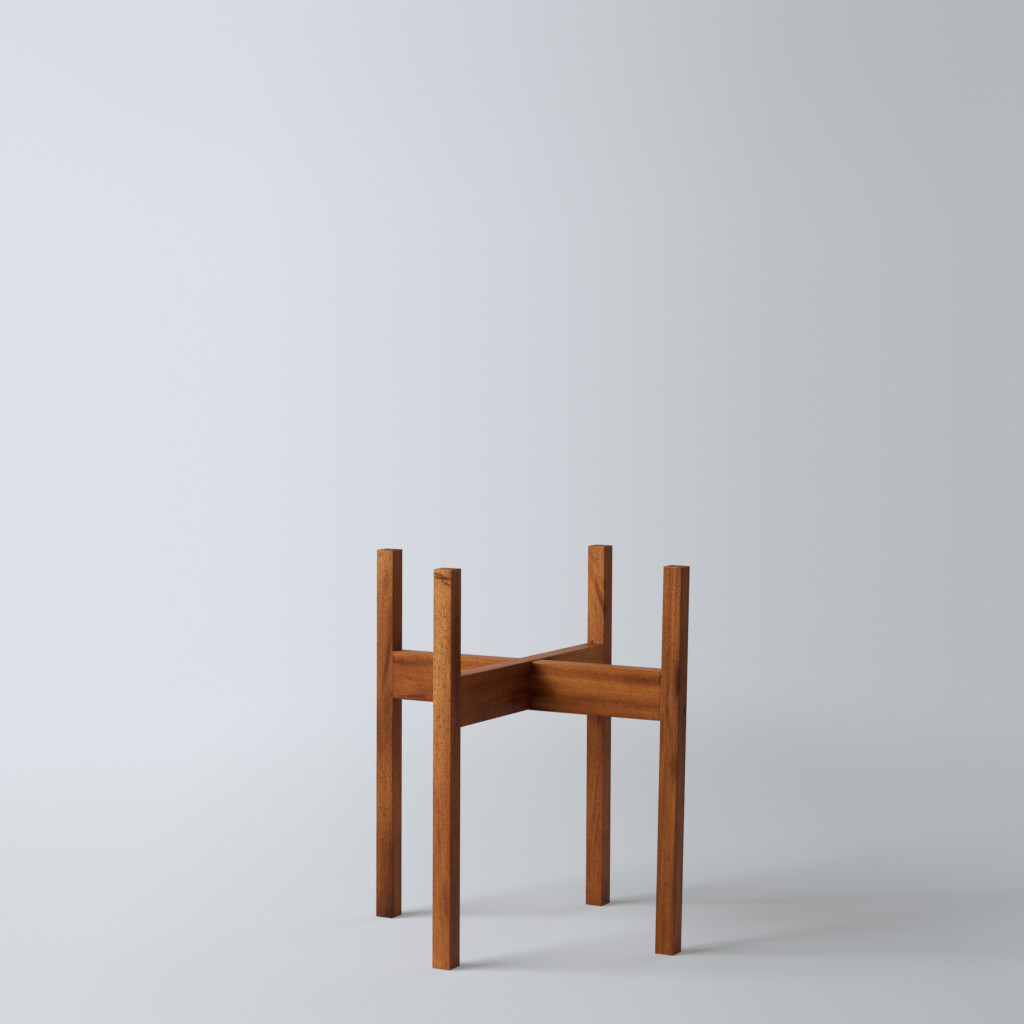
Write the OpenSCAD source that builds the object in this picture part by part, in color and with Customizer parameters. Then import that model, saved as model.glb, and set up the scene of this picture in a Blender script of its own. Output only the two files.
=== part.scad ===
// Plant stand for one pot: two H-shaped wooden frames that cross in a half lap.
// Millimetres, +Z up. X runs along the lower rail and Y along the upper rail.
// The origin is on the floor, under the middle of the crossing.

/* [Legs] */
// Side of a leg's square section, and thickness of the rails, which are flush with the legs
leg_w = 20; // [16:0.5:26]
// Height of the stand
leg_h = 390; // [340:1:450]

/* [Rails] */
// Clear width between two opposite legs, which the pot stands in
pot_clear = 310; // [230:1:360]
// Depth of a rail, from its top edge to its bottom edge
rail_d = 50; // [44:0.5:60]
// Height of the upper rail's top edge above the floor
rail_top = 285; // [200:1:300]

/* [Crossing] */
// How far the upper rail's top edge stands above the lower rail's
crossing_step = 1.2; // [0:0.1:3]
// Gap on each side of a rail in the other rail's notch
notch_clearance = 0.3; // [0.1:0.05:0.6]

/* [Dowels] */
// Diameter of a dowel
dowel_d = 8; // [6:0.5:10]
// Length of a dowel
dowel_l = 30; // [24:1:40]
// How much of a dowel is in the leg
dowel_in_leg = 12; // [8:0.5:13]
// Distance between the two dowels of a rail end
dowel_pitch = 26; // [20:0.5:30]
// Radial gap between a dowel and its hole
dowel_clearance = 0.05; // [0.02:0.01:0.1]
// Glue room at each end of a dowel
dowel_end_gap = 1; // [0.5:0.25:2]
// Depth of a flute in a dowel
flute_depth = 0.4; // [0.2:0.1:0.6]
// Chamfer on the ends of a dowel
dowel_chamfer = 1; // [0.5:0.25:1.5]

/* [Edges] */
// Radius of the sanded edges
arris_r = 0.8; // [0.4:0.1:1.5]
// Radius around the foot of a leg
foot_r = 1.5; // [0.8:0.1:2.5]

/* [Front right leg] */
// Angle by which the leg leans outwards at its top, in degrees
lean = 0.86; // [0:0.02:1.5]
// How much shorter the leg is above its rail than the others
top_short = 1.8; // [0:0.1:3]

/* [Hidden] */
$fn = 48;

leg_colour = [0.62, 0.36, 0.18];
rail_colour = [0.56, 0.31, 0.14];
dowel_colour = [0.80, 0.66, 0.45];

rail_t = leg_w;
// Heights of the middles of the two rails
upper_mid = rail_top - rail_d / 2;
lower_mid = upper_mid - crossing_step;
// Depth of each notch: the two meet at one level, with the upper rail proud by the step
notch_depth = (rail_d - crossing_step) / 2;
notch_w = rail_t + 2 * notch_clearance;
// How far a cutting solid runs past what it cuts
over = 5;
// The leaning leg starts this much longer, and its foot is then cut level
level_cut = leg_w * sin(lean) + foot_r / 2;
hole_r = dowel_d / 2 + dowel_clearance;
hole_in_leg = dowel_in_leg + dowel_end_gap;
hole_in_rail = dowel_l - dowel_in_leg + dowel_end_gap;
flute_r = 0.5;
flutes = 10;

// The outline between a corner's two sides and the arc of radius r in it
module corner_waste(r) {
    difference() {
        translate([-over, -over])
            square(r + over);
        translate([r, r])
            circle(r);
        translate([r, -over])
            square([over, r + over]);
        translate([-over, r])
            square([r + over, over]);
    }
}

// A w by h outline from the origin, with its corners rounded to low_r below and high_r above
module eased_outline(w, h, low_r, high_r) {
    difference() {
        square([w, h]);
        corner_waste(low_r);
        translate([w, 0])
            mirror([1, 0])
                corner_waste(low_r);
        translate([0, h])
            mirror([0, 1])
                corner_waste(high_r);
        translate([w, h])
            rotate(180)
                corner_waste(high_r);
    }
}

// The waste of a leg's two inner edges, from height low to height high in its joint's frame
module inner_edge_waste(low, high) {
    for (side = [0, 1])
        mirror([0, side, 0])
            translate([0, -leg_w / 2, low])
                linear_extrude(high - low)
                    corner_waste(arris_r);
}

// A leg in its joint's frame: X points out of the stand, and the origin is on the leg's
// inner face at the middle of the rail's end. below and above are its reach from there.
// Its inner edges stay square where the rail meets it, because the two were sanded flush there.
module leg_blank(below, above) {
    h = below + above;
    difference() {
        translate([0, -leg_w / 2, -below])
            intersection() {
                linear_extrude(h)
                    difference() {
                        square(leg_w);
                        translate([leg_w, 0])
                            mirror([1, 0])
                                corner_waste(arris_r);
                        translate([leg_w, leg_w])
                            rotate(180)
                                corner_waste(arris_r);
                    }
                translate([0, leg_w, 0])
                    rotate([90, 0, 0])
                        linear_extrude(leg_w)
                            eased_outline(leg_w, h, foot_r, arris_r);
                rotate([90, 0, 90])
                    linear_extrude(leg_w)
                        eased_outline(leg_w, h, foot_r, arris_r);
            }
        inner_edge_waste(-below - over, -rail_d / 2);
        inner_edge_waste(rail_d / 2, above + over);
    }
}

// The two places of a joint's dowels, or one of them: side is 1 for the top one, -1 for the bottom one
module at_dowels(sides = [1, -1]) {
    for (side = sides)
        translate([0, 0, side * dowel_pitch / 2])
            children();
}

// The holes of one joint, along X, in the leg and in the rail's end
module joint_holes() {
    at_dowels()
        translate([-hole_in_rail, 0, 0])
            rotate([0, 90, 0])
                cylinder(h = hole_in_rail + hole_in_leg, r = hole_r);
}

// A leg with its dowel holes, in its joint's frame
module drilled_leg(below, above) {
    difference() {
        leg_blank(below, above);
        joint_holes();
    }
}

// A fluted dowel in its joint's frame, lying along X
module dowel() {
    translate([-(dowel_l - dowel_in_leg), 0, 0])
        rotate([0, 90, 0])
            difference() {
                union() {
                    cylinder(h = dowel_chamfer, r1 = dowel_d / 2 - dowel_chamfer, r2 = dowel_d / 2);
                    translate([0, 0, dowel_chamfer])
                        cylinder(h = dowel_l - 2 * dowel_chamfer, r = dowel_d / 2);
                    translate([0, 0, dowel_l - dowel_chamfer])
                        cylinder(h = dowel_chamfer, r1 = dowel_d / 2, r2 = dowel_d / 2 - dowel_chamfer);
                }
                for (i = [0 : flutes - 1])
                    rotate(i * 360 / flutes)
                        translate([dowel_d / 2 + flute_r - flute_depth, 0, -over])
                            cylinder(h = dowel_l + 2 * over, r = flute_r, $fn = 16);
            }
}

// Puts a joint's frame at the end of a rail: turn is the way the rail's end points, mid the
// height of the rail's middle, and tilt the angle of the end's cut and of the leg on it
module at_joint(turn, mid, tilt = 0) {
    rotate(turn)
        translate([pot_clear / 2, 0, mid])
            rotate([0, tilt, 0])
                children();
}

module at_front_right() {
    at_joint(0, lower_mid, lean)
        children();
}

module at_rear_left() {
    at_joint(180, lower_mid)
        children();
}

module at_rear_right() {
    at_joint(90, upper_mid)
        children();
}

module at_front_left() {
    at_joint(-90, upper_mid)
        children();
}

// A rail along X with its middle at the origin, reach long from there to each end
module rail_blank(reach) {
    translate([-reach, -rail_t / 2, -rail_d / 2])
        rotate([90, 0, 90])
            linear_extrude(2 * reach)
                eased_outline(rail_t, rail_d, arris_r, arris_r);
}

// The notch that opens upwards from the middle of a rail, with its mouth eased
module notch() {
    translate([-notch_w / 2, -rail_t / 2 - over, rail_d / 2 - notch_depth])
        cube([notch_w, rail_t + 2 * over, notch_depth + over]);
    for (side = [0, 1])
        mirror([side, 0, 0])
            translate([notch_w / 2, rail_t / 2 + over, rail_d / 2])
                rotate([90, 0, 0])
                    linear_extrude(rail_t + 2 * over)
                        mirror([0, 1])
                            corner_waste(arris_r);
}

module leg_front_left() {
    color(leg_colour)
        at_front_left()
            drilled_leg(upper_mid, leg_h - upper_mid);
}

module leg_rear_right() {
    color(leg_colour)
        at_rear_right()
            drilled_leg(upper_mid, leg_h - upper_mid);
}

module leg_rear_left() {
    color(leg_colour)
        at_rear_left()
            drilled_leg(lower_mid, leg_h - lower_mid);
}

// The leg that leans, with its foot cut level with the floor
module leg_front_right() {
    color(leg_colour)
        intersection() {
            at_front_right()
                drilled_leg(lower_mid + level_cut, leg_h - top_short - lower_mid);
            translate([0, -leg_w, 0])
                cube([pot_clear, 2 * leg_w, leg_h + over]);
        }
}

module upper_rail() {
    color(rail_colour)
        difference() {
            rotate(90)
                translate([0, 0, upper_mid])
                    difference() {
                        rail_blank(pot_clear / 2);
                        mirror([0, 0, 1])
                            notch();
                    }
            at_front_left()
                joint_holes();
            at_rear_right()
                joint_holes();
        }
}

// Its front right end is cut out of square, which is why the leg there leans
module lower_rail() {
    color(rail_colour)
        difference() {
            translate([0, 0, lower_mid])
                intersection() {
                    difference() {
                        rail_blank(pot_clear / 2 + over);
                        notch();
                    }
                    translate([-pot_clear / 2, -rail_t, -rail_d])
                        cube([pot_clear + over, 2 * rail_t, 2 * rail_d]);
                }
            at_front_right() {
                translate([0, -rail_t, -rail_d])
                    cube([3 * over, 2 * rail_t, 2 * rail_d]);
                joint_holes();
            }
            at_rear_left()
                joint_holes();
        }
}

module front_left_dowel(side) {
    color(dowel_colour)
        at_front_left()
            at_dowels([side])
                dowel();
}

module rear_right_dowel(side) {
    color(dowel_colour)
        at_rear_right()
            at_dowels([side])
                dowel();
}

module rear_left_dowel(side) {
    color(dowel_colour)
        at_rear_left()
            at_dowels([side])
                dowel();
}

module front_right_dowel(side) {
    color(dowel_colour)
        at_front_right()
            at_dowels([side])
                dowel();
}

leg_front_left();
leg_rear_right();
leg_rear_left();
leg_front_right();
upper_rail();
lower_rail();
front_left_dowel(1);  // dowel_front_left_top
front_left_dowel(-1);  // dowel_front_left_bottom
rear_right_dowel(1);  // dowel_rear_right_top
rear_right_dowel(-1);  // dowel_rear_right_bottom
rear_left_dowel(1);  // dowel_rear_left_top
rear_left_dowel(-1);  // dowel_rear_left_bottom
front_right_dowel(1);  // dowel_front_right_top
front_right_dowel(-1);  // dowel_front_right_bottom
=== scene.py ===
import math
from collections import namedtuple

import bpy
from mathutils import Matrix, Vector


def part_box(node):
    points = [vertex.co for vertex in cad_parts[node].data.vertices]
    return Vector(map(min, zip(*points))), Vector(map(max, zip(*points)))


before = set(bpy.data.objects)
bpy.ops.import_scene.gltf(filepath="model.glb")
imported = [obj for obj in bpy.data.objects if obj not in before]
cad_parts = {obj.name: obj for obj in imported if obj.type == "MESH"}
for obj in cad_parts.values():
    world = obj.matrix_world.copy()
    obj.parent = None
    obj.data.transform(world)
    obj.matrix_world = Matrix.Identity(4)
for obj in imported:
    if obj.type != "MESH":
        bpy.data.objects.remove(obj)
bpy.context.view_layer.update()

# ---------------------------------------------------------------------------
# Units and small helpers
# ---------------------------------------------------------------------------

MM_PER_M = 1000.0
AXIS_X = Vector((1, 0, 0))
AXIS_Y = Vector((0, 1, 0))
UP = Vector((0, 0, 1))
WHITE = Vector((1, 1, 1))

# A display colour's curve: a straight line below a share of its range, and a power above it
DISPLAY_WHITE = 255
CURVE_STARTS = 0.04045
LINE_SLOPE = 12.92
CURVE_OFFSET = 0.055
CURVE_POWER = 2.4

# The sockets of a Mix node that take and give colours
MIX_FIRST = 6
MIX_SECOND = 7
MIX_RESULT = 2
# Where a ramp's new stop lies until it gets its own place
RAMP_MIDDLE = 0.5
# Noise lies around this
NOISE_MIDDLE = 0.5
# How far one unit of the seed moves the noise along each of its three axes
SEED_STEPS = (1.0, 1.7, 2.3)

# A layer of noise: the millimetres that its features measure along the three axes, its step from
# the piece's seed, how many finer layers it has, and how strong those are
Layer = namedtuple("Layer", "size seed_step detail roughness", defaults=(0.5,))


def linear(red, green, blue):
    """A display colour from 0 to 255 as the linear colour that Blender's nodes take."""

    def channel(value):
        share = value / DISPLAY_WHITE
        if share <= CURVE_STARTS:
            return share / LINE_SLOPE
        return ((share + CURVE_OFFSET) / (1 + CURVE_OFFSET)) ** CURVE_POWER

    return channel(red), channel(green), channel(blue), 1.0


class Graph:
    """Short calls for building a node tree. A value is a number, a vector or another node's output."""

    def __init__(self, tree):
        self.tree = tree
        tree.nodes.clear()

    def node(self, kind, **settings):
        made = self.tree.nodes.new(kind)
        for name, value in settings.items():
            setattr(made, name, value)
        return made

    def feed(self, socket, value):
        if isinstance(value, bpy.types.NodeSocket):
            self.tree.links.new(value, socket)
        else:
            socket.default_value = value

    def calc(self, operation, *values):
        made = self.node("ShaderNodeMath", operation=operation)
        for socket, value in zip(made.inputs, values):
            self.feed(socket, value)
        return made.outputs[0]

    def total(self, first, *others):
        for other in others:
            first = self.calc("ADD", first, other)
        return first

    def product(self, first, *others):
        for other in others:
            first = self.calc("MULTIPLY", first, other)
        return first

    def vector(self, operation, *values):
        made = self.node("ShaderNodeVectorMath", operation=operation)
        for socket, value in zip(made.inputs, values):
            self.feed(socket, value)
        return made.outputs["Value" if operation in ("DOT_PRODUCT", "LENGTH") else "Vector"]

    def scaled(self, vector, factor):
        made = self.node("ShaderNodeVectorMath", operation="SCALE")
        self.feed(made.inputs["Vector"], vector)
        self.feed(made.inputs["Scale"], factor)
        return made.outputs["Vector"]

    def combine(self, x, y, z):
        made = self.node("ShaderNodeCombineXYZ")
        for socket, value in zip(made.inputs, (x, y, z)):
            self.feed(socket, value)
        return made.outputs[0]

    def grey(self, level):
        return self.combine(level, level, level)

    def span(self, value, low, high, to_low=0.0, to_high=1.0, smooth=True):
        """The value's place from low to high as to_low to to_high, held at both ends."""
        made = self.node("ShaderNodeMapRange", clamp=True)
        made.interpolation_type = "SMOOTHSTEP" if smooth else "LINEAR"
        for socket, given in zip(made.inputs, (value, low, high, to_low, to_high)):
            self.feed(socket, given)
        return made.outputs[0]

    def noise(self, point, layer, seed=0.0):
        """A layer's noise, from 0 to 1, for a piece with this seed."""
        scaled = self.vector("MULTIPLY", point, [1 / length for length in layer.size])
        layer_seed = seed + layer.seed_step
        moved = self.vector("ADD", scaled, [step * layer_seed for step in SEED_STEPS])
        made = self.node("ShaderNodeTexNoise")
        self.feed(made.inputs["Vector"], moved)
        made.inputs["Scale"].default_value = 1.0
        made.inputs["Detail"].default_value = layer.detail
        made.inputs["Roughness"].default_value = layer.roughness
        return made.outputs[0]

    def ripple(self, point, layer, seed):
        """The same noise, around 0."""
        return self.calc("SUBTRACT", self.noise(point, layer, seed), NOISE_MIDDLE)

    def ramp(self, value, stops, interpolation="EASE"):
        """The colour or number at the value's place among the stops, held at both ends."""
        low = stops[0][0]
        high = stops[-1][0]
        made = self.node("ShaderNodeValToRGB")
        band = made.color_ramp
        band.interpolation = interpolation
        while len(band.elements) < len(stops):
            band.elements.new(RAMP_MIDDLE)
        for element, (place, given) in zip(band.elements, stops):
            element.position = (place - low) / (high - low)
            element.color = given if isinstance(given, tuple) else (given, given, given, 1.0)
        self.feed(made.inputs[0], self.span(value, low, high, smooth=False))
        return made.outputs[0]

    def mix(self, share, first, second, blend="MIX"):
        made = self.node("ShaderNodeMix", data_type="RGBA", blend_type=blend)
        made.clamp_factor = True
        self.feed(made.inputs[0], share)
        self.feed(made.inputs[MIX_FIRST], first)
        self.feed(made.inputs[MIX_SECOND], second)
        return made.outputs[MIX_RESULT]


def new_material(name):
    """A material, and the graph of its empty node tree."""
    material = bpy.data.materials.new(name)
    material.use_nodes = True
    return material, Graph(material.node_tree)


# ---------------------------------------------------------------------------
# Camera, at the photograph's viewing angle, for a square image
# ---------------------------------------------------------------------------

CAMERA_PLACE = Vector((1.25335, -2.34637, 0.61638))
CAMERA_YAW = math.radians(119.348)
CAMERA_PITCH = math.radians(-3.237)
CAMERA_ROLL = math.radians(0.238)
SENSOR_MM = 36.0
IMAGE_PX = 1024
FOCAL_PX = 2612.11
FRAME_SHIFT_PX = (40, -30)


def make_camera():
    ahead = Vector((
        math.cos(CAMERA_YAW) * math.cos(CAMERA_PITCH),
        math.sin(CAMERA_YAW) * math.cos(CAMERA_PITCH),
        math.sin(CAMERA_PITCH),
    ))
    level_right = ahead.cross(UP).normalized()
    level_up = level_right.cross(ahead)
    right = math.cos(CAMERA_ROLL) * level_right + math.sin(CAMERA_ROLL) * level_up
    above = math.cos(CAMERA_ROLL) * level_up - math.sin(CAMERA_ROLL) * level_right
    data = bpy.data.cameras.new("camera")
    data.sensor_width = SENSOR_MM
    data.lens = FOCAL_PX * SENSOR_MM / IMAGE_PX
    data.shift_x = FRAME_SHIFT_PX[0] / IMAGE_PX
    data.shift_y = FRAME_SHIFT_PX[1] / IMAGE_PX
    camera = bpy.data.objects.new("camera", data)
    turn = Matrix((right, above, -ahead)).transposed().to_4x4()
    camera.matrix_world = Matrix.Translation(CAMERA_PLACE) @ turn
    bpy.context.scene.collection.objects.link(camera)
    bpy.context.scene.camera = camera


# ---------------------------------------------------------------------------
# Studio: world, floor and lamps
# ---------------------------------------------------------------------------

# From the photograph's left to its right, level with the floor
VIEW_LEFT_TO_RIGHT = Vector((0.864, 0.503, 0.0))
# Colours of the backdrop by the sine of the angle to the right of the view's axis
BACKDROP = (
    (-0.17, linear(222, 226, 233)),
    (-0.07, linear(219, 224, 230)),
    (0.03, linear(208, 212, 218)),
    (0.13, linear(189, 193, 198)),
    (0.20, linear(183, 186, 190)),
)
# The backdrop is a little dimmer above these heights, given as the sine of the angle upwards
BACKDROP_DIM_HEIGHTS = (0.03, 0.12)
BACKDROP_DIM = 0.96
# The side on which glossy rays find the pale backdrop, from where to where they find it, and the
# share of it that they find elsewhere
OPEN_SIDE = Vector((-0.868, 0.497, 0.0))
OPEN_SIDE_RANGE = (0.0, 0.75)
CLOSED_LEVEL = 0.06
# The dim light from all around, which the stand and the floor get besides the lamps'
FILL_COLOUR = (0.088, 0.084, 0.078, 1.0)
# What the floor throws back at the stand, close to it and away from it, in metres from its middle
FLOOR_BOUNCE_NEAR = (1.0, 0.91, 0.77, 1.0)
FLOOR_BOUNCE_FAR = (0.52, 0.49, 0.44, 1.0)
FLOOR_BOUNCE_RADII = (0.30, 0.85)
# The floor is solid inside the first radius and has faded out at the second
FLOOR_FADE_RADII = (0.9, 2.2)
FLOOR_HALF_SIDE = 4.0
# Colours of the floor by metres to the right of the stand
FLOOR_COLOURS = (
    (-0.45, linear(223, 228, 234)),
    (-0.25, linear(216, 221, 227)),
    (-0.10, linear(208, 212, 218)),
    (0.05, linear(201, 205, 210)),
    (0.20, linear(191, 195, 199)),
    (0.42, linear(182, 186, 190)),
)
# How much of the floor's red, green and blue the stand's shadow leaves, at the least
FLOOR_GLOW = Vector((0.355, 0.33, 0.295))

# A square lamp: the direction from its target towards it, its distance and side in metres, its
# power in watts and its colour
Lamp = namedtuple("Lamp", "name toward distance side power colour")
LAMP_TARGET = Vector((0, 0, 0.2))
KEY_LIGHT = Lamp("key_light", Vector((-0.66, -0.75, 0.65)).normalized(), 2.3, 1.5, 76.0, (1.0, 0.985, 0.96))
BACK_LIGHT = Lamp("back_light", Vector((0.3, 1.0, 0.55)).normalized(), 2.4, 1.4, 10.0, (0.97, 0.98, 1.0))


def lamp_place(lamp):
    return LAMP_TARGET + lamp.toward * lamp.distance


def make_softbox(lamp):
    """A square soft lamp that faces its target."""
    data = bpy.data.lights.new(lamp.name, "AREA")
    data.shape = "SQUARE"
    data.size = lamp.side
    data.energy = lamp.power
    data.color = lamp.colour
    made = bpy.data.objects.new(lamp.name, data)
    made.location = lamp_place(lamp)
    made.rotation_mode = "QUATERNION"
    made.rotation_quaternion = lamp.toward.to_track_quat("Z", "Y")
    bpy.context.scene.collection.objects.link(made)


def seen_rays(graph):
    """1 for the rays that see the backdrop: camera, glossy and transmission rays."""
    path = graph.node("ShaderNodeLightPath")
    return graph.calc(
        "MAXIMUM",
        path.outputs["Is Camera Ray"],
        graph.calc("MAXIMUM", path.outputs["Is Glossy Ray"], path.outputs["Is Transmission Ray"]),
    )


def make_world():
    """The backdrop for the rays that see it, and an even fill for all others."""
    world = bpy.data.worlds.new("studio")
    world.use_nodes = True
    graph = Graph(world.node_tree)
    direction = graph.node("ShaderNodeTexCoord").outputs["Generated"]
    level = graph.vector("NORMALIZE", graph.vector("MULTIPLY", direction, (1, 1, 0)))
    backdrop = graph.ramp(graph.vector("DOT_PRODUCT", level, VIEW_LEFT_TO_RIGHT), BACKDROP, "LINEAR")
    height = graph.vector("DOT_PRODUCT", direction, UP)
    open_share = graph.span(
        graph.vector("DOT_PRODUCT", level, OPEN_SIDE), *OPEN_SIDE_RANGE, CLOSED_LEVEL, 1.0
    )
    glossy = graph.node("ShaderNodeLightPath").outputs["Is Glossy Ray"]
    shown_level = graph.product(
        graph.total(graph.product(glossy, open_share), graph.calc("SUBTRACT", 1.0, glossy)),
        graph.span(height, *BACKDROP_DIM_HEIGHTS, 1.0, BACKDROP_DIM),
    )
    shown = graph.mix(1.0, backdrop, graph.grey(shown_level), "MULTIPLY")
    background = graph.node("ShaderNodeBackground")
    graph.feed(background.inputs["Color"], graph.mix(seen_rays(graph), FILL_COLOUR, shown))
    output = graph.node("ShaderNodeOutputWorld")
    graph.feed(output.inputs["Surface"], background.outputs[0])
    bpy.context.scene.world = world


def lamp_level(graph, lamp, place):
    """How bright a lamp makes a white floor at place, as red, green and blue where 1 is white."""
    to_lamp = graph.vector("SUBTRACT", lamp_place(lamp), place)
    squared = graph.vector("DOT_PRODUCT", to_lamp, to_lamp)
    facing = graph.product(
        graph.vector("DOT_PRODUCT", to_lamp, UP),
        graph.vector("DOT_PRODUCT", to_lamp, lamp.toward),
    )
    level = graph.calc("DIVIDE", facing, graph.product(squared, squared))
    return graph.scaled(Vector(lamp.colour) * (lamp.power / math.pi ** 2), level)


def floor_material():
    """A pale floor that looks evenly lit: its own colour makes up for the lamps' fall-off."""
    material, graph = new_material("floor")
    place = graph.node("ShaderNodeNewGeometry").outputs["Position"]
    distance = graph.vector("LENGTH", place)
    shown = graph.ramp(graph.vector("DOT_PRODUCT", place, VIEW_LEFT_TO_RIGHT), FLOOR_COLOURS, "LINEAR")
    lamps = graph.vector(
        "ADD", lamp_level(graph, KEY_LIGHT, place), lamp_level(graph, BACK_LIGHT, place)
    )
    level = graph.vector("ADD", lamps, FILL_COLOUR[:3])
    painted = graph.vector("MULTIPLY", shown, graph.vector("DIVIDE", WHITE - FLOOR_GLOW, level))
    bounce = graph.mix(graph.span(distance, *FLOOR_BOUNCE_RADII), FLOOR_BOUNCE_NEAR, FLOOR_BOUNCE_FAR)
    seen = seen_rays(graph)
    diffuse = graph.node("ShaderNodeBsdfDiffuse")
    graph.feed(diffuse.inputs["Color"], graph.mix(seen, bounce, painted))
    glow = graph.node("ShaderNodeEmission")
    graph.feed(glow.inputs["Color"], graph.vector("MULTIPLY", shown, FLOOR_GLOW))
    graph.feed(glow.inputs["Strength"], seen)
    solid = graph.node("ShaderNodeAddShader")
    graph.feed(solid.inputs[0], diffuse.outputs[0])
    graph.feed(solid.inputs[1], glow.outputs[0])
    clear = graph.node("ShaderNodeBsdfTransparent")
    faded = graph.node("ShaderNodeMixShader")
    graph.feed(faded.inputs[0], graph.span(distance, *FLOOR_FADE_RADII))
    graph.feed(faded.inputs[1], solid.outputs[0])
    graph.feed(faded.inputs[2], clear.outputs[0])
    output = graph.node("ShaderNodeOutputMaterial")
    graph.feed(output.inputs["Surface"], faded.outputs[0])
    return material


def make_floor():
    half = FLOOR_HALF_SIDE
    mesh = bpy.data.meshes.new("floor")
    corners = [(-half, -half, 0), (half, -half, 0), (half, half, 0), (-half, half, 0)]
    mesh.from_pydata(corners, [], [(0, 1, 2, 3)])
    floor = bpy.data.objects.new("floor", mesh)
    bpy.context.scene.collection.objects.link(floor)
    mesh.materials.append(floor_material())


# ---------------------------------------------------------------------------
# How the wood of a piece is described
# ---------------------------------------------------------------------------

# How a piece lies in its tree. Millimetres from origin run across the face that the photograph
# shows, into the piece from that face, and along the grain. A leaning piece's places across follow
# its lean, in radians.
Grain = namedtuple("Grain", "origin across depth along half_across thickness lean")
# The shaded point in the grain's axes: each millimetre value by itself, and all three as a point
Place = namedtuple("Place", "across depth along point")
# One mark: its centre and radii in the grain's axes, its turn in degrees in the shown
# face, how far it darkens the tone, and how rough its outline is.
Mark = namedtuple("Mark", "centre radii turn tone ragged", defaults=(0.3,))
# Bands that lie slantwise over the grain: how strong, at how many degrees, how far apart
Figure = namedtuple("Figure", "strength angle pitch")
# Painted shade beside the other rail, where the two rails shade each other at the crossing: how strong,
# and the millimetres from the crossing where it starts high and low on the side and where it is at its
# darkest
Crossing = namedtuple("Crossing", "strength start_high start_low darkest")
# A rail's top edge, which is dull and keeps the wood's own colour: its tone, and the millimetres
# along the rail where it takes the tint of the sides
TopEdge = namedtuple("TopEdge", "tone dull_until")
# The look of one piece. across_tones and along_tones are tones at millimetres across the shown face
# and along the grain; flecks are shares at millimetres along. A leg also has a painted tint on its side
# towards +X, which stands in for the light on that shaded side; a rail has its painted shade beside
# the other rail, and its top edge. streaks is the strength of the fine lines, and tilt is how far the
# bands slide sideways as they go deeper.
USUAL_STREAKS = 1.0
USUAL_TILT = 0.35
Look = namedtuple(
    "Look",
    "seed across_tones along_tones flecks figure marks tint side_tint crossing top_edge streaks tilt",
    defaults=(None, None, None, USUAL_STREAKS, USUAL_TILT),
)


def leg_grain(name, lean=0.0):
    """A leg's middle at the floor, with its shown face towards -Y."""
    low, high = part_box(name)
    width = high.y - low.y
    origin = Vector((low.x + width / 2, low.y, 0))
    return Grain(origin, AXIS_X, AXIS_Y, UP, width / 2 * MM_PER_M, width * MM_PER_M, lean)


def rail_grain(name):
    """A rail's middle height, and its shown face: -Y on the lower rail and +X on the upper one."""
    low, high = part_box(name)
    middle = (low.z + high.z) / 2
    half_across = (high.z - low.z) / 2 * MM_PER_M
    if name == "lower_rail":
        thickness = (high.y - low.y) * MM_PER_M
        return Grain(Vector((0, low.y, middle)), UP, AXIS_Y, AXIS_X, half_across, thickness, 0.0)
    thickness = (high.x - low.x) * MM_PER_M
    return Grain(Vector((high.x, 0, middle)), UP, -AXIS_X, AXIS_Y, half_across, thickness, 0.0)


# ---------------------------------------------------------------------------
# Oiled hardwood
# ---------------------------------------------------------------------------

# The wood from its palest to its darkest
TONES = (
    (0.00, linear(197, 144, 87)),
    (0.22, linear(178, 120, 63)),
    (0.45, linear(157, 94, 43)),
    (0.68, linear(131, 70, 28)),
    (0.86, linear(103, 49, 18)),
    (1.00, linear(64, 27, 10)),
)
# A piece's tones across and along are added up, less this one
MIDDLE_TONE = 0.5
NO_TINT = (1.0, 1.0, 1.0, 1.0)

# The noise in the wood, with its sizes across, into and along the grain
WANDER = Layer((30, 30, 90), 0, 2.0)
DRIFT = Layer((60, 60, 240), 3, 1.0)
FINE_BANDS = Layer((2.2, 5.0, 160), 7, 3.0, 0.6)
FIBRES = Layer((0.6, 0.9, 30), 11, 2.0, 0.55)
PATCHES = Layer((10, 10, 45), 17, 2.0)
GRIT = Layer((0.75, 0.75, 1.15), 42, 1.0)
DASHES = Layer((0.85, 0.85, 3.4), 43, 1.0)
PORES = Layer((0.42, 0.42, 2.6), 47, 1.0)
EDGE_WEAR = Layer((3, 3, 12), 53, 3.0, 0.6)

# How far the wander and the drift push the growth rings sideways
WANDER_MM = 9.0
DRIFT_MM = 10.0
# Fine bands and fibres run deeper into the wood than their layers say: depth counts by this share
RING_DEPTH_SHARE = 0.4
# The noise from which a pore or a dash begins, and at which it is at its darkest
PORE_RANGE = (0.55, 0.66)
DASH_RANGE = (0.59, 0.70)

# Slantwise bands: how many of their widths make up the pitch, how many pitches long they are, and
# how deep they go
FIGURE_WIDTHS_PER_PITCH = 3
FIGURE_LENGTH_PITCHES = 2
FIGURE_DEPTH_MM = 14
FIGURE_SEED_STEP = 23
FIGURE_DETAIL = 1.0
# Marks: the noise that roughens their outlines and how far it does, and the shares of the radii at
# which a mark has faded out and at which it is at its full strength
MARK_BREAKUP = Layer((1.2, 1.2, 3.0), 31, 2.0)
MARK_RAGGED_REACH = 2.4
MARK_FADE = (1.25, 0.2)

# How close to its edge the last face across begins: a leg's side towards +X, or a rail's top edge
FAR_FACE_MM = (1.0, 0.3)
# Painted shade beside the other rail: the heights on the rail between which its start moves out,
# those between which it ends below the top edge, and the depths over which it weakens to a share
CROSSING_SHADE_START_HEIGHTS = (15.0, 0.0)
CROSSING_SHADE_TOP_HEIGHTS = (24.6, 22.0)
CROSSING_SHADE_DEPTHS = (2.0, 10.0)
CROSSING_SHADE_ELSEWHERE = 0.45
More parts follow.
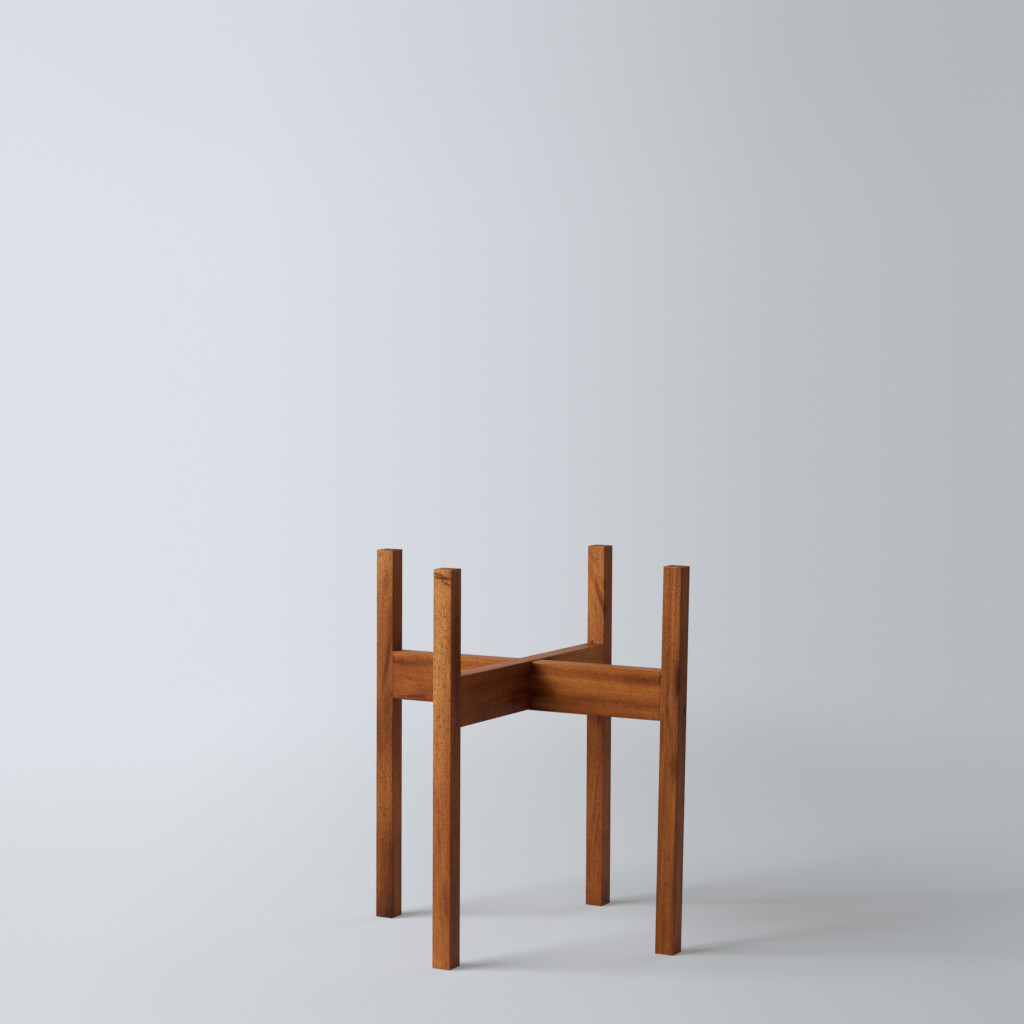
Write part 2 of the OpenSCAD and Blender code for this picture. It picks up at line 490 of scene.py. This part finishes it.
# Painted shade in the crease at a rail's end, where it meets a leg: where it starts and where it is darkest
JOINT_SHADE_MM = (153.2, 154.8)
JOINT_SHADE_TONE = 0.24
# A rail's top edge takes on the sides' tint around the place that its look gives, over this stretch
DULL_BEFORE_MM = 10.0
DULL_AFTER_MM = 15.0

# Rubbed edges: how close to an edge they lie, and the noise that breaks them up into patches
RUBBED_MM = (1.5, 0.2)
RUBBED_RANGE = (0.42, 0.62)
# End grain: how squarely the surface faces along the grain
END_RANGE = (0.6, 0.95)

# The faces that are cut across the rings show fewer flecks, from these depths on: this share of
# those on the shown face
FLECK_DEPTHS = (0.3, 1.5)
FLECKS_ELSEWHERE = 0.6
FLECK_TINT = linear(160, 132, 116)
# What each feature of the wood adds to its tone, its flecks, its roughness and its bump's height
FINE_BAND_TONE = 0.36
PATCH_TONE = 0.30
FLECK_SHARES = {"pores": 0.45, "dashes": 0.55}
ROUGHNESS_SHARES = {"patches": 0.12, "pores": 0.15, "rubbed": -0.06, "end": 0.35}
HEIGHT_SHARES = {"fibres": 0.6, "grit": 0.3, "pores": -1.0, "dashes": -0.5}
# How far each feature brightens or darkens the wood, which is this bright without them
PLAIN_SHADE = 1.05
GRIT_SHADE = 1.9
FIBRE_SHADE = 0.34
RUBBED_SHADE = 0.12
END_SHADE = -0.40
END_BAND_SHADE = 1.2
# A satin oil. A bump is a strength, and a distance in metres.
OILED_ROUGHNESS = 0.47
OILED_IOR = 1.45
OILED_SPECULAR = 0.20
OILED_BUMP = (0.30, 0.00012)


def grain_place(graph, grain):
    """The shaded point in millimetres across, into and along the grain."""
    place = graph.node("ShaderNodeTexCoord").outputs["Object"]
    local = graph.vector("SUBTRACT", place, grain.origin)
    leaning = grain.across - grain.along * math.tan(grain.lean)
    across = graph.vector("DOT_PRODUCT", local, leaning * MM_PER_M)
    depth = graph.vector("DOT_PRODUCT", local, grain.depth * MM_PER_M)
    along = graph.vector("DOT_PRODUCT", local, grain.along * MM_PER_M)
    return Place(across, depth, along, graph.combine(across, depth, along))


def ring_place(graph, look, place):
    """Where the point lies among the growth rings, which wander along the grain."""
    return graph.total(
        place.across,
        graph.product(place.depth, look.tilt),
        graph.product(graph.ripple(place.point, WANDER, look.seed), WANDER_MM),
        graph.product(graph.ripple(place.point, DRIFT, look.seed), DRIFT_MM),
    )


def turned(graph, across, along, degrees):
    """Places across and along after a turn in the shown face."""
    turn = math.radians(degrees)
    return (
        graph.total(graph.product(across, math.cos(turn)), graph.product(along, math.sin(turn))),
        graph.calc("SUBTRACT", graph.product(along, math.cos(turn)), graph.product(across, math.sin(turn))),
    )


def mark_tone(graph, look, place, index):
    """What a mark adds to the tone: all of it near its middle, and nothing well past its radii."""
    mark = look.marks[index]
    off_across = graph.calc("SUBTRACT", place.across, mark.centre[0])
    off_depth = graph.calc("SUBTRACT", place.depth, mark.centre[1])
    off_along = graph.calc("SUBTRACT", place.along, mark.centre[2])
    turned_across, turned_along = turned(graph, off_across, off_along, mark.turn)
    offset = graph.combine(turned_across, off_depth, turned_along)
    in_radii = graph.vector("MULTIPLY", offset, [1 / radius for radius in mark.radii])
    distance = graph.vector("LENGTH", in_radii)
    breakup = graph.ripple(place.point, MARK_BREAKUP, look.seed + index)
    rough = graph.product(breakup, MARK_RAGGED_REACH * mark.ragged)
    return graph.product(graph.span(graph.total(distance, rough), *MARK_FADE), mark.tone)


def figure_tone(graph, look, place):
    """Soft bands that lie slantwise over the grain."""
    figure = look.figure
    slant_across, slant_along = turned(graph, place.across, place.along, figure.angle)
    width = figure.pitch / FIGURE_WIDTHS_PER_PITCH
    length = figure.pitch * FIGURE_LENGTH_PITCHES
    bands = Layer((width, FIGURE_DEPTH_MM, length), FIGURE_SEED_STEP, FIGURE_DETAIL)
    slanted = graph.combine(slant_across, place.depth, slant_along)
    return graph.product(graph.ripple(slanted, bands, look.seed), figure.strength)


def crossing_shade_tone(graph, look, place):
    """Painted shade: a rail's sides are darker close to the other rail, where the rails shade each other,
    and all of it is darker at its very ends, in the crease where it meets a leg.
    """
    crossing = look.crossing
    from_middle = graph.calc("ABSOLUTE", place.along)
    start = graph.span(place.across, *CROSSING_SHADE_START_HEIGHTS, crossing.start_high, crossing.start_low)
    weakest = CROSSING_SHADE_ELSEWHERE * crossing.strength
    beside = graph.product(
        graph.span(from_middle, start, crossing.darkest),
        graph.span(place.across, *CROSSING_SHADE_TOP_HEIGHTS),
        graph.span(place.depth, *CROSSING_SHADE_DEPTHS, crossing.strength, weakest),
    )
    return graph.total(beside, graph.product(graph.span(from_middle, *JOINT_SHADE_MM), JOINT_SHADE_TONE))


def broad_tone(graph, look, place, ring, far_face):
    """The tone across and along a piece. A rail's top edge has a tone of its own, and a rail gets painted
    shade beside the other rail.
    """
    tone = graph.total(
        graph.ramp(ring, look.across_tones),
        graph.ramp(place.along, look.along_tones),
        -MIDDLE_TONE,
    )
    if not look.top_edge:
        return tone
    return graph.total(
        graph.product(tone, graph.calc("SUBTRACT", 1.0, far_face)),
        graph.product(far_face, look.top_edge.tone),
        crossing_shade_tone(graph, look, place),
    )


def wood_tint(graph, look, place, far_face):
    """The piece's tint: a leg's side towards +X has its own, painted for the light on that shaded side, and
    most of a rail's top edge has none.
    """
    if look.side_tint:
        return graph.mix(far_face, look.tint, look.side_tint)
    tinted_at = look.top_edge.dull_until
    untinted = graph.span(place.along, tinted_at + DULL_AFTER_MM, tinted_at - DULL_BEFORE_MM)
    return graph.mix(graph.product(far_face, untinted), look.tint, NO_TINT)


def rubbed_edges(graph, grain, look, place):
    """1 on the parts of the edges that are rubbed."""
    half_depth = grain.thickness / 2
    off_depth = graph.calc("SUBTRACT", place.depth, half_depth)
    to_edge = graph.calc(
        "MAXIMUM",
        graph.calc("SUBTRACT", grain.half_across, graph.calc("ABSOLUTE", place.across)),
        graph.calc("SUBTRACT", half_depth, graph.calc("ABSOLUTE", off_depth)),
    )
    wear = graph.noise(place.point, EDGE_WEAR, look.seed)
    return graph.product(graph.span(to_edge, *RUBBED_MM), graph.span(wear, *RUBBED_RANGE))


def end_grain(graph, grain):
    """1 where the wood is cut across its grain."""
    normal = graph.node("ShaderNodeTexCoord").outputs["Normal"]
    facing_along = graph.calc("ABSOLUTE", graph.vector("DOT_PRODUCT", normal, grain.along))
    return graph.span(facing_along, *END_RANGE)


def wood_features(graph, grain, look, place, ring):
    """The features of the wood by name: of its rings, all over it, and at its edges and ends."""
    ring_point = graph.combine(ring, graph.product(place.depth, RING_DEPTH_SHARE), place.along)
    return {
        "fine_bands": graph.ripple(ring_point, FINE_BANDS, look.seed),
        "fibres": graph.ripple(ring_point, FIBRES, look.seed),
        "patches": graph.ripple(place.point, PATCHES, look.seed),
        "grit": graph.ripple(place.point, GRIT, look.seed),
        "pores": graph.span(graph.noise(place.point, PORES, look.seed), *PORE_RANGE),
        "dashes": graph.span(graph.noise(place.point, DASHES, look.seed), *DASH_RANGE),
        "rubbed": rubbed_edges(graph, grain, look, place),
        "end": end_grain(graph, grain),
    }


def weighted(graph, features, shares):
    """Each feature that shares names, times its share."""
    return [graph.product(features[name], share) for name, share in shares.items()]


def wood_colour(graph, look, place, tone, tint, features):
    """The tone's colour, shaded by grit, fibres, edges and ends, with pores and dashes over it."""
    fleck_share = graph.product(
        graph.ramp(place.along, look.flecks),
        graph.span(place.depth, *FLECK_DEPTHS, 1.0, FLECKS_ELSEWHERE),
    )
    end = features["end"]
    shade = graph.product(
        graph.total(PLAIN_SHADE, graph.product(features["grit"], fleck_share, GRIT_SHADE)),
        graph.total(1.0, graph.product(features["fibres"], FIBRE_SHADE * look.streaks)),
        graph.total(1.0, graph.product(features["rubbed"], RUBBED_SHADE)),
        graph.total(1.0, graph.product(end, END_SHADE)),
        graph.total(1.0, graph.product(end, features["fine_bands"], END_BAND_SHADE)),
    )
    shaded = graph.mix(1.0, graph.ramp(tone, TONES, "LINEAR"), graph.grey(shade), "MULTIPLY")
    flecks = graph.total(*weighted(graph, features, FLECK_SHARES))
    flecked = graph.mix(graph.product(flecks, fleck_share), shaded, FLECK_TINT, "MULTIPLY")
    return graph.mix(1.0, flecked, tint, "MULTIPLY")


def surface(graph, colour, roughness, height, bump_strength, bump_distance):
    """A bumpy surface, wired to the material's output."""
    bump = graph.node("ShaderNodeBump")
    bump.inputs["Strength"].default_value = bump_strength
    bump.inputs["Distance"].default_value = bump_distance
    graph.feed(bump.inputs["Height"], height)
    shader = graph.node("ShaderNodeBsdfPrincipled")
    graph.feed(shader.inputs["Base Color"], colour)
    graph.feed(shader.inputs["Roughness"], roughness)
    graph.feed(shader.inputs["Normal"], bump.outputs[0])
    output = graph.node("ShaderNodeOutputMaterial")
    graph.feed(output.inputs["Surface"], shader.outputs[0])
    return shader


def wood_material(name, grain, look):
    """Oiled hardwood: a tone from pale to dark makes its colour, and flecks lie over that."""
    material, graph = new_material(name)
    place = grain_place(graph, grain)
    ring = ring_place(graph, look, place)
    features = wood_features(graph, grain, look, place, ring)
    far_face = graph.span(place.across, *(grain.half_across - reach for reach in FAR_FACE_MM))
    tone = graph.total(
        broad_tone(graph, look, place, ring, far_face),
        graph.product(features["fine_bands"], FINE_BAND_TONE * look.streaks),
        graph.product(features["patches"], PATCH_TONE),
        figure_tone(graph, look, place),
        *(mark_tone(graph, look, place, index) for index in range(len(look.marks))),
    )
    tint = wood_tint(graph, look, place, far_face)
    colour = wood_colour(graph, look, place, tone, tint, features)
    roughness = graph.total(OILED_ROUGHNESS, *weighted(graph, features, ROUGHNESS_SHARES))
    height = graph.total(*weighted(graph, features, HEIGHT_SHARES))
    shader = surface(graph, colour, roughness, height, *OILED_BUMP)
    shader.inputs["IOR"].default_value = OILED_IOR
    shader.inputs["Specular IOR Level"].default_value = OILED_SPECULAR
    return material


# ---------------------------------------------------------------------------
# The looks of the legs and rails
# ---------------------------------------------------------------------------

# The lean of the front right leg
LEAN = math.radians(0.86)
# Marks on a leg's side towards +X lie just outside it and reach over the whole of its width
SIDE_MARK_ACROSS = 12.0
SIDE_MARK_RADIUS = 3.6
SIDE_MARK_RAGGED = 0.2


def dress(name, material):
    """Puts a material in every slot of a CAD node's object."""
    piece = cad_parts[name]
    if not piece.material_slots:
        piece.data.materials.append(material)
    for slot in piece.material_slots:
        slot.material = material


def dress_leg(name, look, lean=0.0):
    dress(name, wood_material(f"wood_{name}", leg_grain(name, lean), look))


def dress_rail(name, look):
    dress(name, wood_material(f"wood_{name}", rail_grain(name), look))


def side_mark(along, half_length, tone, depth=10, half_depth=14):
    """A mark on a leg's side towards +X."""
    centre = (SIDE_MARK_ACROSS, depth, along)
    radii = (SIDE_MARK_RADIUS, half_depth, half_length)
    return Mark(centre, radii, 0, tone, SIDE_MARK_RAGGED)


def front_left_leg_look():
    marks = (
        Mark((-4.5, 0, 385.2), (8.5, 5, 1.4), -8, 0.50, 0.4),
        Mark((0.5, 0, 381.9), (13.0, 5, 2.0), -4, 0.56, 0.4),
        Mark((5.0, 0, 376.4), (7.5, 4, 1.2), -22, 0.40, 0.4),
        Mark((7.5, 0, 387.2), (3.2, 3, 2.0), 30, 0.30, 0.5),
        Mark((0.0, 0, 379.0), (14.0, 6, 10.0), -6, 0.18),
        Mark((7.5, 0, 320.0), (3.6, 4, 26.0), 2, 0.16),
        Mark((1.5, 0, 352.0), (1.6, 3, 12.0), 16, 0.12, 0.5),
        Mark((5.0, 0, 68.0), (4.2, 6, 30.0), 6, 0.15),
        Mark((0.0, 0, 56.0), (2.2, 6, 22.0), 4, 0.11),
        Mark((-1.5, 0, 116.0), (1.5, 6, 30.0), 4, 0.10),
        Mark((0.0, 0, 216.0), (4.5, 6, 32.0), 0, -0.08),
        Mark((7.0, 0, 30.0), (3.6, 6, 22.0), 0, -0.08),
        Mark((-4.5, 0, 118.0), (1.4, 6, 50.0), 0, 0.08),
        Mark((-2.5, 0, 60.0), (1.6, 6, 44.0), 3, -0.07),
        side_mark(302.0, 105.0, 0.42, 11, 13),
        side_mark(110.0, 60.0, -0.03, 11, 13),
        side_mark(30.0, 44.0, 0.09, 11, 13),
    )
    return Look(
        seed=2.0,
        across_tones=((-12, 0.30), (-7, 0.22), (-1, 0.25), (4, 0.30), (8, 0.38), (14, 0.48), (24, 0.42)),
        along_tones=((0, 0.74), (60, 0.79), (150, 0.75), (200, 0.65), (230, 0.60), (300, 0.55), (345, 0.52),
                     (392, 0.44)),
        flecks=((0, 0.75), (120, 0.80), (180, 1.1), (230, 1.3), (300, 1.15), (345, 1.2), (392, 1.1)),
        figure=Figure(strength=0.16, angle=35, pitch=14),
        marks=marks,
        tint=(0.96, 0.97, 1.0, 1.0),
        side_tint=(1.00, 0.94, 0.80, 1.0),
    )


def rear_left_leg_look():
    marks = (
        Mark((-5.0, 0, 385.0), (2.2, 3, 2.0), 0, 0.30, 0.6),
        Mark((1.5, 0, 354.0), (3.4, 8, 22.0), -9, 0.14),
        Mark((0.0, 0, 376.0), (14.0, 8, 20.0), 0, -0.10, 0.2),
        Mark((6.0, 0, 234.0), (4.0, 6, 16.0), 0, 0.09),
        Mark((5.5, 0, 301.0), (5.4, 8, 40.0), -3, 0.18),
        Mark((2.8, 0, 270.0), (2.8, 6, 38.0), -10, 0.18),
        Mark((6.5, 0, 262.0), (2.4, 6, 26.0), -6, -0.04),
        Mark((-6.5, 0, 199.0), (4.4, 6, 34.0), 3, 0.21),
        Mark((3.0, 0, 150.0), (7.0, 6, 30.0), 0, -0.10),
        Mark((8.6, 0, 238.0), (1.3, 2, 2.0), 0, 0.55, 0.5),
        Mark((8.0, 0, 36.0), (10.0, 8, 84.0), 3, 0.12, 0.2),
        Mark((-7.0, 0, 46.0), (4.5, 5, 46.0), 0, -0.12, 0.2),
        Mark((4.5, 0, 75.0), (1.6, 5, 60.0), 0, -0.09, 0.2),
        Mark((-5.5, 0, 130.0), (3.4, 5, 34.0), 0, -0.10, 0.2),
        Mark((2.0, 0, 218.0), (6.0, 5, 22.0), 0, 0.07),
        Mark((-1.0, 0, 4.0), (14.0, 12, 8.0), 0, 0.07),
        side_mark(120.0, 120.0, -0.30),
        side_mark(20.0, 76.0, -0.34),
        side_mark(316.0, 34.0, -0.18),
    )
    return Look(
        seed=11.0,
        across_tones=((-12, 0.35), (-8, 0.36), (-3, 0.38), (2, 0.44), (7, 0.48), (12, 0.5), (24, 0.45)),
        along_tones=((0, 0.88), (60, 0.83), (120, 0.62), (190, 0.70), (252, 0.66), (315, 0.60), (350, 0.48),
                     (392, 0.38)),
        flecks=((0, 1.3), (150, 1.5), (200, 1.1), (260, 1.0), (330, 1.2), (392, 1.3)),
        figure=Figure(strength=0.14, angle=-25, pitch=16),
        marks=marks,
        # painted shade: this grey tint darkens the whole leg for the weaker light on it
        tint=(0.76, 0.76, 0.72, 1.0),
        side_tint=(0.90, 0.76, 0.55, 1.0),
        streaks=0.7,
    )


def rear_right_leg_look():
    marks = (
        Mark((-4.6, 0, 377.5), (3.6, 12, 17.0), 32, 0.24, 0.2),
        Mark((-0.2, 0, 349.0), (4.4, 12, 40.0), 20, 0.20, 0.2),
        Mark((6.5, 0, 332.0), (3.8, 12, 26.0), 18, 0.24, 0.2),
        Mark((-2.8, 0, 329.0), (1.8, 12, 32.0), 15, 0.13),
        Mark((-7.0, 0, 318.0), (3.0, 12, 26.0), 15, -0.06),
        Mark((1.0, 0, 364.0), (3.0, 12, 18.0), 26, -0.14),
        Mark((7.0, 0, 353.0), (3.4, 12, 20.0), 26, 0.20),
        side_mark(110.0, 120.0, -0.26),
        side_mark(194.0, 30.0, -0.16),
        # painted shadow: darker just under the upper rail
        Mark((0.0, 0, 210.0), (14.0, 8, 17.0), 0, 0.20, 0.2),
        Mark((2.0, 0, 130.0), (9.0, 8, 56.0), 0, -0.06, 0.2),
        Mark((4.0, 0, 138.0), (1.9, 8, 34.0), -8, 0.13),
        Mark((-0.5, 0, 97.0), (2.4, 8, 20.0), -10, 0.15),
        Mark((3.5, 0, 84.0), (1.5, 8, 32.0), -9, 0.10),
        Mark((-5.0, 0, 62.0), (1.8, 8, 20.0), -9, 0.08),
        Mark((-3.6, 0, 286.6), (1.5, 1.8, 1.3), 0, 1.4, 0.0),
        Mark((3.4, 0, 286.6), (0.8, 1.5, 0.6), 0, -0.30, 0.0),
    )
    return Look(
        seed=23.0,
        across_tones=((-12, 0.40), (-7, 0.38), (-2, 0.36), (3, 0.38), (8, 0.44), (14, 0.5), (24, 0.48)),
        along_tones=((0, 0.86), (60, 0.75), (110, 0.74), (180, 0.82), (240, 0.78), (300, 0.55), (350, 0.48),
                     (392, 0.50)),
        flecks=((0, 0.80), (240, 0.80), (300, 0.95), (392, 0.90)),
        figure=Figure(strength=0.20, angle=24, pitch=18),
        marks=marks,
        tint=(1.0, 0.98, 0.95, 1.0),
        side_tint=(1.16, 1.03, 0.76, 1.0),
        streaks=0.85,
    )


def front_right_leg_look():
    marks = (
        Mark((-5.8, 0, 345.0), (1.8, 6, 60.0), 0, -0.02),
        Mark((-1.8, 0, 350.0), (1.5, 6, 55.0), 1, 0.10),
        Mark((2.2, 0, 345.0), (1.8, 6, 60.0), 0, -0.12),
        Mark((6.5, 0, 334.0), (2.8, 6, 44.0), 0, -0.14),
        Mark((8.0, 0, 276.0), (4.0, 5, 24.0), 0, 0.24),
        Mark((-1.5, 0, 294.0), (7.0, 5, 20.0), 0, 0.08),
        Mark((-2.5, 0, 262.0), (1.8, 5, 16.0), -10, 0.09, 0.4),
        Mark((-1.0, 0, 238.0), (3.0, 5, 24.0), 14, 0.12),
        Mark((2.0, 0, 218.0), (2.2, 5, 16.0), 10, 0.08, 0.4),
        Mark((-1.5, 0, 198.0), (2.4, 5, 20.0), -3, 0.08),
        Mark((5.0, 0, 189.0), (5.4, 5, 16.0), 4, 0.19),
        Mark((-7.0, 0, 228.0), (3.4, 5, 18.0), 0, 0.20),
        Mark((-6.0, 0, 172.0), (3.0, 5, 30.0), 0, -0.06),
        Mark((6.5, 0, 105.0), (2.2, 6, 80.0), 0, -0.10, 0.2),
        Mark((1.0, 0, 80.0), (3.4, 6, 56.0), 1, -0.07),
        Mark((-6.0, 0, 76.0), (2.4, 6, 36.0), 0, 0.08),
        Mark((6.0, 0, 146.0), (3.0, 6, 26.0), 0, -0.08),
        Mark((-4.5, 0, 150.0), (1.6, 6, 46.0), 0, 0.07),
        Mark((-9.5, 0, 278.0), (1.2, 1.8, 1.2), 0, 0.50),
        Mark((10.0, 15, 244.0), (2.0, 3.0, 7.0), 0, 0.45),
        side_mark(360.0, 64.0, -0.32),
        side_mark(110.0, 90.0, -0.20),
        side_mark(26.0, 52.0, -0.26),
        side_mark(272.0, 44.0, -0.10),
        Mark((0.0, 10, 388.5), (16.0, 16, 2.0), 0, -0.40, 0.2),
    )
    return Look(
        seed=37.0,
        across_tones=((-12, 0.50), (-9, 0.50), (-7, 0.45), (-4.5, 0.44), (-2.5, 0.51), (0, 0.50),
                      (1.5, 0.45), (3.5, 0.46), (5.5, 0.53), (9, 0.56), (14, 0.54), (24, 0.50)),
        along_tones=((0, 0.75), (50, 0.76), (120, 0.69), (180, 0.62), (260, 0.68), (330, 0.63),
                     (392, 0.64)),
        flecks=((0, 0.80), (200, 0.90), (392, 1.1)),
        figure=Figure(strength=0.10, angle=-30, pitch=16),
        marks=marks,
        tint=(0.97, 0.97, 0.90, 1.0),
        side_tint=(1.09, 1.00, 0.70, 1.0),
        streaks=1.3,
        tilt=0.5,
    )


def lower_rail_look():
    marks = (
        Mark((-19.6, 0, -124.0), (1.8, 3, 12.0), 0, 0.22, 0.6),
        Mark((-21.0, 0, -132.0), (1.0, 3, 10.0), 3, 0.10, 0.5),
        Mark((-1.0, 0, 27.0), (9.0, 5, 16.0), 0, 0.12, 0.2),
        Mark((-16.0, 0, 17.0), (8.0, 5, 12.0), 0, -0.08, 0.2),
        Mark((-16.0, 0, 44.0), (7.0, 5, 12.0), 0, 0.08, 0.2),
        Mark((-10.0, 0, -140.0), (6.0, 5, 36.0), 0, -0.14),
        Mark((-3.0, 0, -146.0), (13.0, 5, 22.0), 0, -0.07, 0.2),
        Mark((20.5, 0, -128.0), (5.0, 5, 40.0), 0, -0.16),
        Mark((12.0, 0, -140.0), (5.0, 5, 36.0), 0, 0.06),
        Mark((14.0, 0, 140.0), (9.0, 5, 36.0), 0, 0.08),
        Mark((22.5, 0, 153.0), (0.9, 1.5, 0.9), 0, 0.7, 0.2),
        Mark((19.6, 0, 155.0), (0.9, 1.5, 0.9), 0, 0.7, 0.2),
    )
    return Look(
        seed=51.0,
        across_tones=((-32, 0.76), (-25, 0.71), (-22, 0.56), (-18, 0.52), (-14, 0.60), (-9, 0.63),
                      (-5, 0.50), (1, 0.43), (8, 0.44), (11, 0.56), (15, 0.61), (17.5, 0.55),
                      (20.5, 0.42), (32, 0.45)),
        along_tones=((-156, 0.71), (-115, 0.67), (-80, 0.46), (-20, 0.46), (60, 0.56), (156, 0.60)),
        flecks=((-156, 1.2), (-60, 1.1), (60, 0.85), (156, 0.85)),
        figure=Figure(strength=0.16, angle=55, pitch=12),
        marks=marks,
        tint=(1.0, 0.93, 0.61, 1.0),
        # painted shade beside the upper rail
        crossing=Crossing(strength=0.39, start_high=36.0, start_low=49.0, darkest=10.0),
        top_edge=TopEdge(tone=0.44, dull_until=75.0),
        streaks=0.9,
    )


def upper_rail_look():
    marks = (
        Mark((-5.0, 0, -45.4), (1.0, 2, 3.0), 0, 0.4, 0.2),
        Mark((-10.0, 0, -46.0), (16.0, 5, 18.0), 0, 0.07, 0.2),
        Mark((16.0, 0, -20.0), (7.0, 5, 14.0), 0, -0.08, 0.2),
        Mark((24.0, 2, -39.0), (1.2, 2, 2.0), 0, -0.5, 0.0),
        # painted shade: the top is darker next to the rear right leg
        Mark((25.0, 10, 148.0), (3.0, 16, 20.0), 0, 0.20, 0.2),
        Mark((0.0, 20, 105.0), (34.0, 9, 60.0), 0, 0.26, 0.2),
    )
    return Look(
        seed=67.0,
        across_tones=((-32, 0.60), (-20, 0.58), (-8, 0.64), (4, 0.58), (14, 0.66), (24, 0.60), (32, 0.6)),
        along_tones=((-156, 0.49), (-110, 0.62), (-60, 0.66), (10, 0.55), (60, 0.16), (105, 0.03),
                     (130, 0.06), (150, 0.20), (156, 0.22)),
        flecks=((-156, 1.1), (156, 1.0)),
        figure=Figure(strength=0.14, angle=-60, pitch=16),
        marks=marks,
        tint=(1.0, 0.79, 0.34, 1.0),
        # painted shade beside the lower rail
        crossing=Crossing(strength=0.20, start_high=52.0, start_low=66.0, darkest=12.0),
        top_edge=TopEdge(tone=0.49, dull_until=118.0),
        streaks=1.1,
    )


# ---------------------------------------------------------------------------
# Dowels
# ---------------------------------------------------------------------------

# Dry beech, from its darker to its paler fibres
BEECH_TONES = (
    (0.30, linear(196, 158, 112)),
    (0.50, linear(214, 180, 134)),
    (0.70, linear(226, 196, 152)),
)
BEECH_FLECK_COLOUR = linear(140, 98, 60)
BEECH_FIBRES = Layer((0.5, 0.5, 0.5), 3, 3.0, 0.6)
# All dowels lie level, and so do their flecks: flat, and longer than they are high
BEECH_FLECKS = Layer((0.7, 0.7, 0.35), 5, 1.0)
BEECH_FLECK_RANGE = (0.60, 0.70)
BEECH_FLECK_SHARE = 0.35
BEECH_ROUGHNESS = 0.62
BEECH_FLECK_ROUGHNESS = 0.15
BEECH_BUMP = (0.4, 0.0001)


def dowel_material():
    """Dry pale beech with short dark flecks."""
    material, graph = new_material("wood_dowel")
    place = graph.scaled(graph.node("ShaderNodeTexCoord").outputs["Object"], MM_PER_M)
    fibres = graph.noise(place, BEECH_FIBRES)
    flecks = graph.span(graph.noise(place, BEECH_FLECKS), *BEECH_FLECK_RANGE)
    plain = graph.ramp(fibres, BEECH_TONES, "LINEAR")
    colour = graph.mix(graph.product(flecks, BEECH_FLECK_SHARE), plain, BEECH_FLECK_COLOUR)
    roughness = graph.total(BEECH_ROUGHNESS, graph.product(flecks, BEECH_FLECK_ROUGHNESS))
    surface(graph, colour, roughness, graph.calc("SUBTRACT", fibres, flecks), *BEECH_BUMP)
    return material


def dress_dowels():
    material = dowel_material()
    for corner in ("front_left", "rear_right", "rear_left", "front_right"):
        for place in ("top", "bottom"):
            dress(f"dowel_{corner}_{place}", material)


bpy.context.scene.view_settings.view_transform = "Standard"
make_camera()
make_world()
make_floor()
make_softbox(KEY_LIGHT)
make_softbox(BACK_LIGHT)
dress_leg("leg_front_left", front_left_leg_look())
dress_leg("leg_rear_left", rear_left_leg_look())
dress_leg("leg_rear_right", rear_right_leg_look())
dress_leg("leg_front_right", front_right_leg_look(), LEAN)
dress_rail("lower_rail", lower_rail_look())
dress_rail("upper_rail", upper_rail_look())
dress_dowels()
